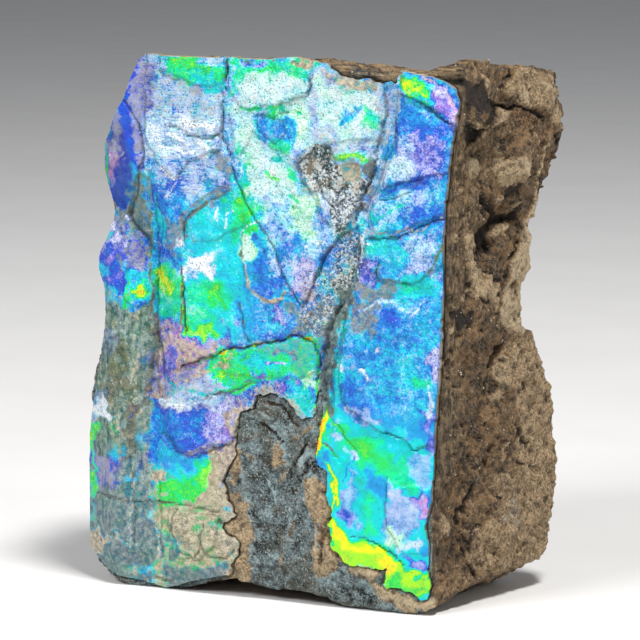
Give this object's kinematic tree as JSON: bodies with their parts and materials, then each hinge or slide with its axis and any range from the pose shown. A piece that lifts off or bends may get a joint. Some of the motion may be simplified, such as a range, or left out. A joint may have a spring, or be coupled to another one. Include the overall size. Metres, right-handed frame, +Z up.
{
  "type": "ammolite specimen",
  "caption": "Free-standing broken block of brown ironstone matrix with a cracked sheet of iridescent ammonite shell on its front face, for display or study.",
  "frame": {"origin": "centre of the block's footprint, on the surface that it stands on", "axes": "+Z up the standing block, -Y out of the iridescent shell face, +X towards the broken flank on the right of that face"},
  "size_m": [0.0649, 0.0354, 0.0792],
  "materials": {
    "ironstone": "rough broken brown ironstone, greyer shale near the shell, matt",
    "ammolite": "thin nacreous shell, glossy, iridescent blue, violet, green and gold in patches"
  },
  "bodies": {
    "root": {"stone_matrix": "ironstone", "ammolite_shell": "ammolite"}
  },
  "joints": []
}
